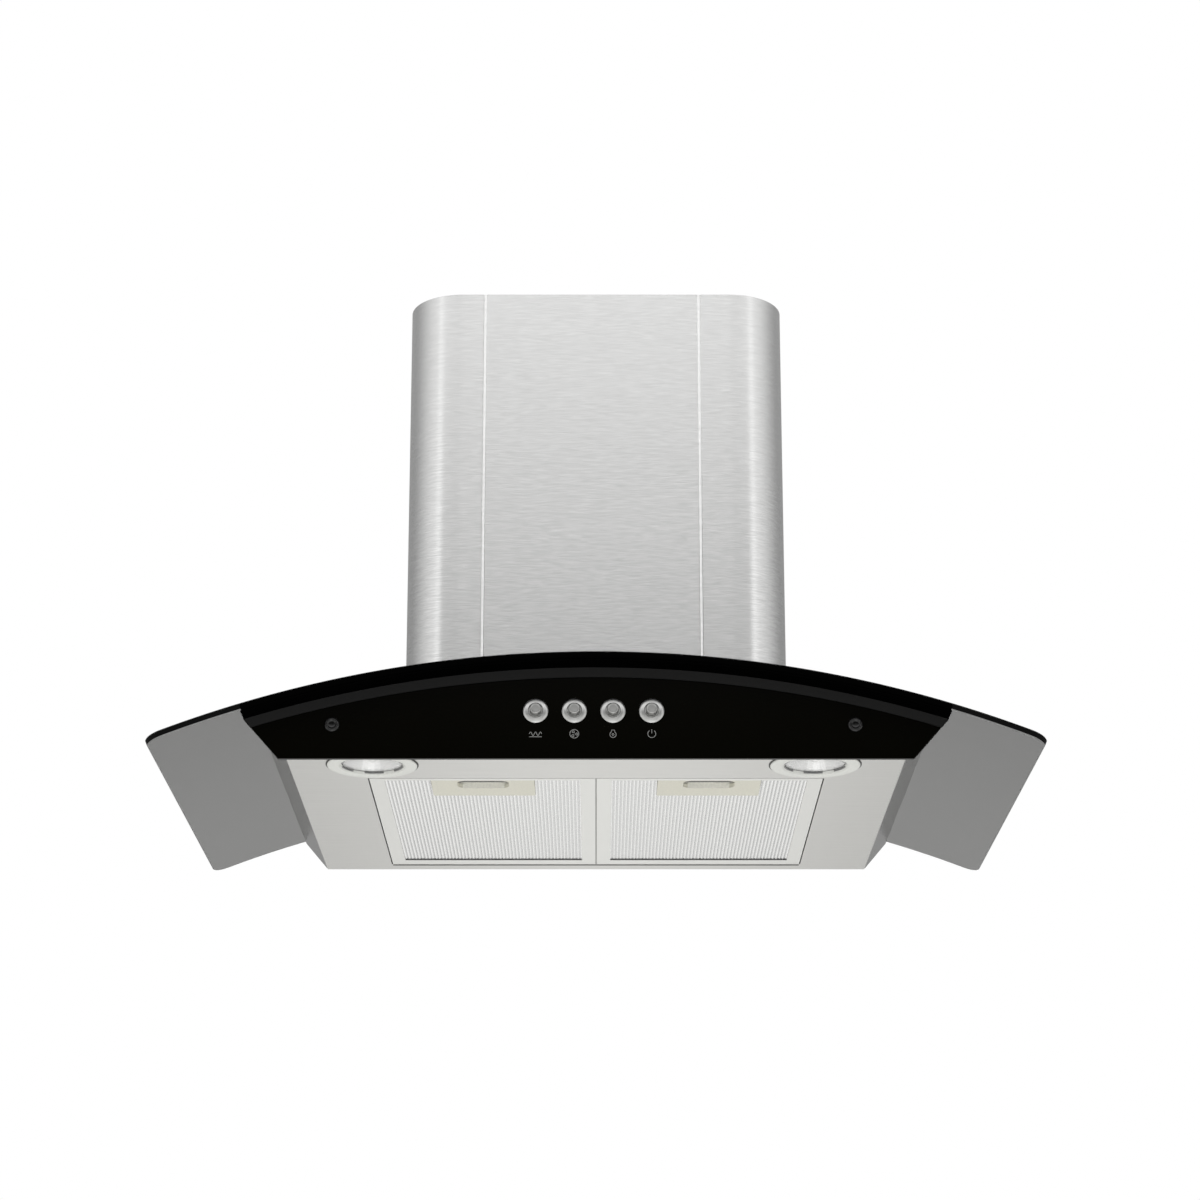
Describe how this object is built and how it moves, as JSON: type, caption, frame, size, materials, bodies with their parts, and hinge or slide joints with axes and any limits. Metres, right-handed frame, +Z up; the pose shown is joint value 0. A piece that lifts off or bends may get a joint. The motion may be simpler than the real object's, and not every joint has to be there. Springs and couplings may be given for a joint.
{
  "type": "range hood",
  "caption": "Wall-mounted kitchen range hood with an arched glass canopy, chimney cover, push buttons, lamps, hinged mesh grease filters and a blower with a round duct collar.",
  "frame": {"origin": "centre of the wall bracket's screw hole pattern, on the wall plane", "axes": "+X right seen from the front, +Y into the wall, +Z up"},
  "size_m": [0.75, 0.479, 0.4945],
  "materials": {
    "stainless": "brushed stainless sheet",
    "galvanised": "zinc-coated sheet",
    "smoked_glass": "grey toughened glass",
    "black_rail": "satin black",
    "black_panel": "gloss black",
    "rubber": "black",
    "silver_trim": "satin silver",
    "lamp_trim": "pale grey",
    "clear_glass": "clear",
    "reflector": "bright bowl",
    "socket": "pale ceramic",
    "aluminium": "bright aluminium",
    "cream_plastic": "cream",
    "dark_plastic": "dark grey",
    "steel": "zinc-plated steel"
  },
  "bodies": {
    "hood": {"glass_canopy": "smoked_glass", "glass_gasket": "rubber", "glass_screws": "steel", "canopy_shell": "stainless", "bottom_tray": "stainless", "fascia_rail": "black_rail", "control_panel": "black_panel", "screw_caps": "black_panel", "button_bezel_1": "silver_trim", "button_bezel_2": "silver_trim", "button_bezel_3": "silver_trim", "button_bezel_4": "silver_trim", "switch_block": "dark_plastic", "lamp_ring_left": "lamp_trim", "lamp_ring_right": "lamp_trim", "lamp_lens_left": "clear_glass", "lamp_lens_right": "clear_glass", "lamp_reflector_left": "reflector", "lamp_reflector_right": "reflector", "lamp_capsule_left": "clear_glass", "lamp_capsule_right": "clear_glass", "lamp_socket_left": "socket", "lamp_socket_right": "socket", "blower_front": "galvanised", "blower_rear": "galvanised", "blower_side_left": "galvanised", "blower_side_right": "galvanised", "blower_top": "galvanised", "scroll_wrap": "galvanised", "scroll_side_left": "galvanised", "scroll_side_right": "galvanised", "inlet_rings": "dark_plastic", "fan_motor": "steel", "motor_bracket": "galvanised", "run_capacitor": "aluminium", "terminal_box": "dark_plastic", "cable_gland": "dark_plastic", "duct_collar": "dark_plastic", "damper_pin": "steel", "chimney_cover": "stainless", "chimney_bracket": "galvanised", "chimney_screws": "steel", "wall_bracket": "galvanised", "hanger_plate": "galvanised"},
    "button_1": {"button_cap_1": "silver_trim"},
    "button_2": {"button_cap_2": "silver_trim"},
    "button_3": {"button_cap_3": "silver_trim"},
    "button_4": {"button_cap_4": "silver_trim"},
    "filter_left": {"filter_frame_left": "aluminium", "filter_mesh_left": "aluminium", "filter_grip_left": "cream_plastic"},
    "latch_left": {"filter_latch_left": "cream_plastic"},
    "filter_right": {"filter_frame_right": "aluminium", "filter_mesh_right": "aluminium", "filter_grip_right": "cream_plastic"},
    "latch_right": {"filter_latch_right": "cream_plastic"},
    "fan": {"fan_wheel": "dark_plastic", "fan_shaft": "steel"},
    "damper_front": {"damper_flap_front": "aluminium"},
    "damper_rear": {"damper_flap_rear": "aluminium"}
  },
  "joints": [
    {"name": "button_1_press", "type": "slide", "parent": "hood", "child": "button_1", "axis": [0, 1, 0], "range_m": [0, 0.003], "stiffness_N_per_m": 300, "springref_m": -0.003},
    {"name": "button_2_press", "type": "slide", "parent": "hood", "child": "button_2", "axis": [0, 1, 0], "range_m": [0, 0.003], "stiffness_N_per_m": 300, "springref_m": -0.003},
    {"name": "button_3_press", "type": "slide", "parent": "hood", "child": "button_3", "axis": [0, 1, 0], "range_m": [0, 0.003], "stiffness_N_per_m": 300, "springref_m": -0.003},
    {"name": "button_4_press", "type": "slide", "parent": "hood", "child": "button_4", "axis": [0, 1, 0], "range_m": [0, 0.003], "stiffness_N_per_m": 300, "springref_m": -0.003},
    {"name": "filter_left_hinge", "type": "hinge", "parent": "hood", "child": "filter_left", "pos_m": [-0.0985, -0.03, -0.249], "axis": [1, 0, 0], "range_deg": [0, 60]},
    {"name": "filter_right_hinge", "type": "hinge", "parent": "hood", "child": "filter_right", "pos_m": [0.0985, -0.03, -0.249], "axis": [1, 0, 0], "range_deg": [0, 60]},
    {"name": "latch_left_slide", "type": "slide", "parent": "filter_left", "child": "latch_left", "axis": [0, 1, 0], "range_m": [0, 0.006], "stiffness_N_per_m": 300, "springref_m": -0.003},
    {"name": "latch_right_slide", "type": "slide", "parent": "filter_right", "child": "latch_right", "axis": [0, 1, 0], "range_m": [0, 0.006], "stiffness_N_per_m": 300, "springref_m": -0.003},
    {"name": "fan_spin", "type": "hinge", "parent": "hood", "child": "fan", "pos_m": [0, -0.11, -0.078], "axis": [1, 0, 0], "continuous": true},
    {"name": "damper_front_hinge", "type": "hinge", "parent": "hood", "child": "damper_front", "pos_m": [0, -0.16, 0.05], "axis": [-1, 0, 0], "range_deg": [0, 75]},
    {"name": "damper_rear_hinge", "type": "hinge", "parent": "hood", "child": "damper_rear", "pos_m": [0, -0.16, 0.05], "axis": [1, 0, 0], "range_deg": [0, 75]}
  ]
}
